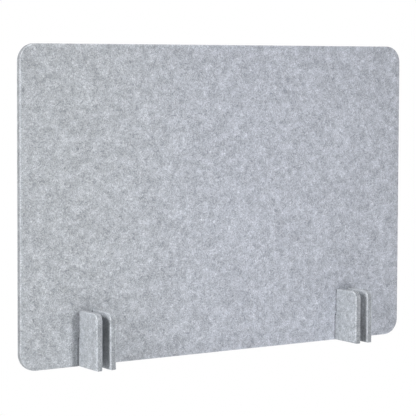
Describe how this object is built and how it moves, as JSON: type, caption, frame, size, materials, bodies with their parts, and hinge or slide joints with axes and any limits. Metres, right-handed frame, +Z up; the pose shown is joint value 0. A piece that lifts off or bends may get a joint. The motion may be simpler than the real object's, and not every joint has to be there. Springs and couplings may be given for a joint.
{
  "type": "acoustic divider screen",
  "caption": "Free-standing desk screen of grey pressed felt board: an upright round-cornered panel standing in slotted felt plate feet.",
  "frame": {"origin": "middle of the panel's bottom edge, on the desk that the screen stands on", "axes": "+X along the panel, -Y towards the front face, +Z up"},
  "size_m": [0.6, 0.099, 0.406],
  "materials": {
    "panel_felt": "matt pressed felt, heathered light grey",
    "foot_felt": "matt pressed felt, heathered light grey"
  },
  "bodies": {
    "panel_body": {"panel": "panel_felt"},
    "left_outer_foot": {"left_foot_outer_plate": "foot_felt"},
    "left_inner_foot": {"left_foot_inner_plate": "foot_felt"},
    "right_inner_foot": {"right_foot_inner_plate": "foot_felt"},
    "right_outer_foot": {"right_foot_outer_plate": "foot_felt"}
  },
  "joints": [
    {"name": "left_outer_pull", "type": "slide", "parent": "panel_body", "child": "left_outer_foot", "axis": [0, 0, -1], "range_m": [0, 0.074]},
    {"name": "left_inner_pull", "type": "slide", "parent": "panel_body", "child": "left_inner_foot", "axis": [0, 0, -1], "range_m": [0, 0.074]},
    {"name": "right_inner_pull", "type": "slide", "parent": "panel_body", "child": "right_inner_foot", "axis": [0, 0, -1], "range_m": [0, 0.074]},
    {"name": "right_outer_pull", "type": "slide", "parent": "panel_body", "child": "right_outer_foot", "axis": [0, 0, -1], "range_m": [0, 0.074]}
  ]
}
